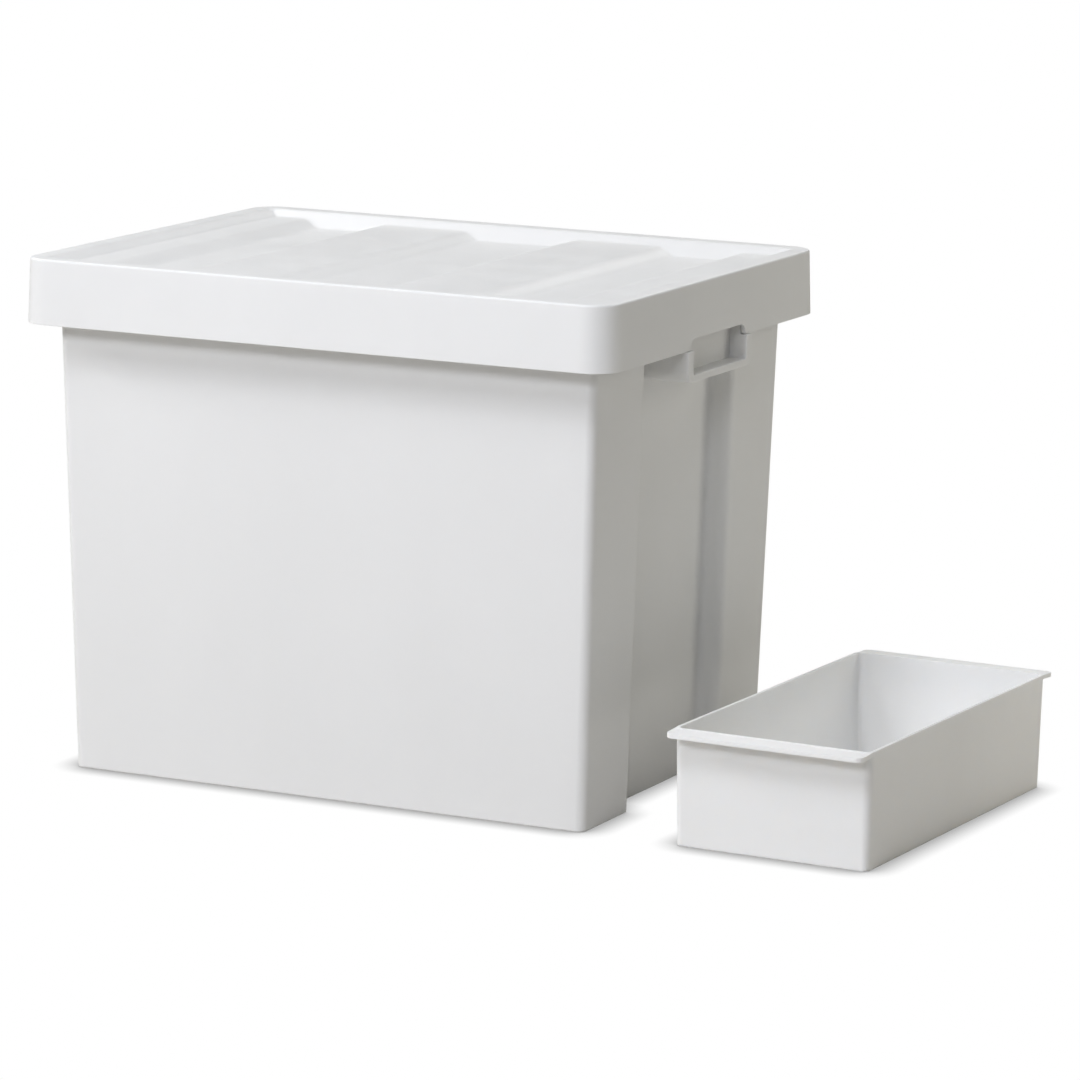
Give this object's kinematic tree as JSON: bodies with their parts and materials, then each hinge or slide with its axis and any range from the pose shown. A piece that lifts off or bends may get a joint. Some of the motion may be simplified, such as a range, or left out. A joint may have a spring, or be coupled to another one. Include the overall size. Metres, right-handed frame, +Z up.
{
  "type": "art supply storage box",
  "caption": "Deep drafted plastic tub with end grips, a lift-off skirted lid with a ribbed recessed top, and a small loose tray with a lip at each short end standing beside it.",
  "frame": {"origin": "on the floor, under the middle of the tub", "axes": "+X along the tub's long side, towards the tray; +Y across the tub, from its front to its rear; +Z up"},
  "size_m": [0.5788, 0.3098, 0.324],
  "materials": {
    "tub_plastic": "satin moulded polypropylene, white, very fine grain",
    "lid_plastic": "satin moulded polypropylene, white, very fine grain",
    "tray_plastic": "satin moulded polypropylene, white, very fine grain"
  },
  "bodies": {
    "tub": {"tub": "tub_plastic"},
    "lid": {"lid": "lid_plastic"},
    "tray": {"tray": "tray_plastic"}
  },
  "joints": [
    {"name": "lid_lift", "type": "slide", "parent": "tub", "child": "lid", "axis": [0, 0, 1], "range_m": [0, 0.25]},
    {"name": "tray_lift", "type": "slide", "parent": "tub", "child": "tray", "axis": [0, 0, 1], "range_m": [0, 0.35]}
  ]
}
